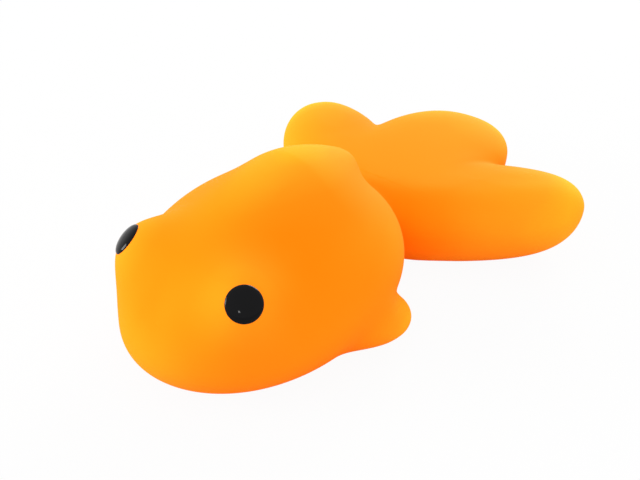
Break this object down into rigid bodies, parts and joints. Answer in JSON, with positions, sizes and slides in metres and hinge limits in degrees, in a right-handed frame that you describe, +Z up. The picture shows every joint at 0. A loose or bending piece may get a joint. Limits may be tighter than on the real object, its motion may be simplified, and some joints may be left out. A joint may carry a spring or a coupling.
{
  "type": "squishy toy fish",
  "caption": "Soft goldfish squeeze toy with a flat belly: its back presses down, its lobed tail wags and lifts, its stub side fins sweep, and all of it springs back.",
  "frame": {"origin": "middle of the bounding box, on the plane that the flat underside rests on", "axes": "+Z up, nose towards -Y, tail towards +Y, the fish's left side towards +X"},
  "size_m": [0.0466, 0.0656, 0.0201],
  "materials": {
    "body_rubber": "matte, powdery orange gel rubber",
    "fin_rubber": "matte, powdery orange gel rubber, paler where thin",
    "tail_rubber": "matte, powdery orange gel rubber",
    "eye_black": "glossy black"
  },
  "bodies": {
    "torso": {"body": "body_rubber"},
    "back": {"dorsal_fin": "fin_rubber"},
    "left_eye": {"left_eye": "eye_black"},
    "right_eye": {"right_eye": "eye_black"},
    "left_pectoral": {"left_pectoral_fin": "fin_rubber"},
    "right_pectoral": {"right_pectoral_fin": "fin_rubber"},
    "tail_root": {"tail_root": "tail_rubber"},
    "tail_fan": {"tail_fan": "tail_rubber"}
  },
  "joints": [
    {"name": "squeeze", "type": "slide", "parent": "torso", "child": "back", "axis": [0, 0, -1], "range_m": [0, 0.004], "stiffness_N_per_m": 600, "deforming": ["body"]},
    {"name": "left_eye_sink", "type": "slide", "parent": "torso", "child": "left_eye", "axis": [0, 0, -1], "range_m": [0, 0.0028]},
    {"name": "right_eye_sink", "type": "slide", "parent": "torso", "child": "right_eye", "axis": [0, 0, -1], "range_m": [0, 0.0028]},
    {"name": "left_fin_sweep", "type": "hinge", "parent": "torso", "child": "left_pectoral", "pos_m": [0.01164, -0.01007, 0.0035], "axis": [0, 0, 1], "range_deg": [-20, 20], "stiffness_Nm_per_rad": 0.004},
    {"name": "right_fin_sweep", "type": "hinge", "parent": "torso", "child": "right_pectoral", "pos_m": [-0.01164, -0.01007, 0.0035], "axis": [0, 0, 1], "range_deg": [-20, 20], "stiffness_Nm_per_rad": 0.004},
    {"name": "tail_wag", "type": "hinge", "parent": "torso", "child": "tail_root", "pos_m": [0, -0.00105, 0.0061], "axis": [0, 0, 1], "range_deg": [-20, 20], "stiffness_Nm_per_rad": 0.05},
    {"name": "tail_lift", "type": "hinge", "parent": "tail_root", "child": "tail_fan", "pos_m": [0, 0.00395, 0.0102], "axis": [1, 0, 0], "range_deg": [-12, 45], "stiffness_Nm_per_rad": 0.03}
  ],
  "couplings": [
    {"joint": "left_eye_sink", "follows": "squeeze", "ratio": 0.69},
    {"joint": "right_eye_sink", "follows": "squeeze", "ratio": 0.69}
  ]
}
